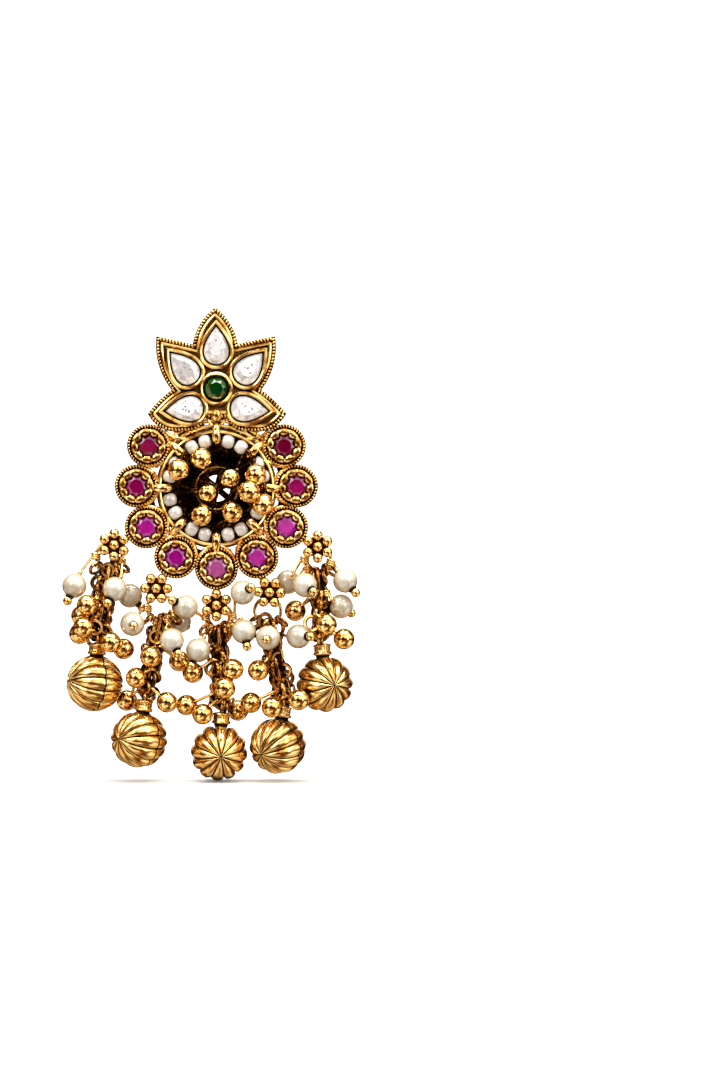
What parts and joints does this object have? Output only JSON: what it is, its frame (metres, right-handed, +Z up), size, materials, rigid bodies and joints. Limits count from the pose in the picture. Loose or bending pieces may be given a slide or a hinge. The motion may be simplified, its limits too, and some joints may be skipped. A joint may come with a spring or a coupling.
{
  "type": "dangle earring",
  "caption": "Ornate drop earring: a flower stud with pear stones over a round openwork body of red stones, a fluted cup of gold balls, and chains with pearls, small balls and ribbed balls.",
  "frame": {"origin": "root of the ear post, on the back of the flower, level with the middle of the green stone", "axes": "+X to the right of someone who looks at the front, the front faces -Y, +Z up"},
  "size_m": [0.0476, 0.0168, 0.0757],
  "materials": {
    "antique_gold": "antique gold plate with dark recesses",
    "dark_gold": "blackened gold plate",
    "pearl": "cream pearl coat",
    "clear_stone": "foil-backed cut glass",
    "green_stone": "foil-backed cut glass",
    "crimson_stone": "foil-backed cut glass",
    "raspberry_stone": "foil-backed cut glass",
    "pink_stone": "foil-backed cut glass",
    "pale_pink_stone": "foil-backed cut glass"
  },
  "bodies": {
    "root": {"cast_frame": "antique_gold", "pear_stone_top": "clear_stone", "pear_stone_upper_left": "clear_stone", "pear_stone_upper_right": "clear_stone", "pear_stone_lower_left": "clear_stone", "pear_stone_lower_right": "clear_stone", "green_stone": "green_stone", "red_stone_1": "crimson_stone", "red_stone_2": "raspberry_stone", "red_stone_3": "pink_stone", "red_stone_4": "pink_stone", "red_stone_5": "pale_pink_stone", "red_stone_6": "pink_stone", "red_stone_7": "pink_stone", "red_stone_8": "raspberry_stone", "red_stone_9": "crimson_stone", "cup": "dark_gold", "cup_rings": "antique_gold", "seed_wire": "antique_gold", "seed_pearls": "pearl", "cup_balls": "antique_gold", "hoop_1": "antique_gold", "hoop_2": "antique_gold", "hoop_3": "antique_gold", "hoop_4": "antique_gold", "hoop_5": "antique_gold", "chain_1": "antique_gold", "chain_2": "antique_gold", "chain_3": "antique_gold", "chain_4": "antique_gold", "chain_5": "antique_gold", "pearls_1": "pearl", "pearls_2": "pearl", "pearls_3": "pearl", "pearls_4": "pearl", "pearls_5": "pearl", "pearl_pins_1": "antique_gold", "pearl_pins_2": "antique_gold", "pearl_pins_3": "antique_gold", "pearl_pins_4": "antique_gold", "pearl_pins_5": "antique_gold", "gold_drops_1": "antique_gold", "gold_drops_2": "antique_gold", "gold_drops_3": "antique_gold", "gold_drops_4": "antique_gold", "gold_drops_5": "antique_gold", "ribbed_ball_1": "antique_gold", "ribbed_ball_2": "antique_gold", "ribbed_ball_3": "antique_gold", "ribbed_ball_4": "antique_gold", "ribbed_ball_5": "antique_gold", "ear_post": "antique_gold"}
  },
  "joints": []
}
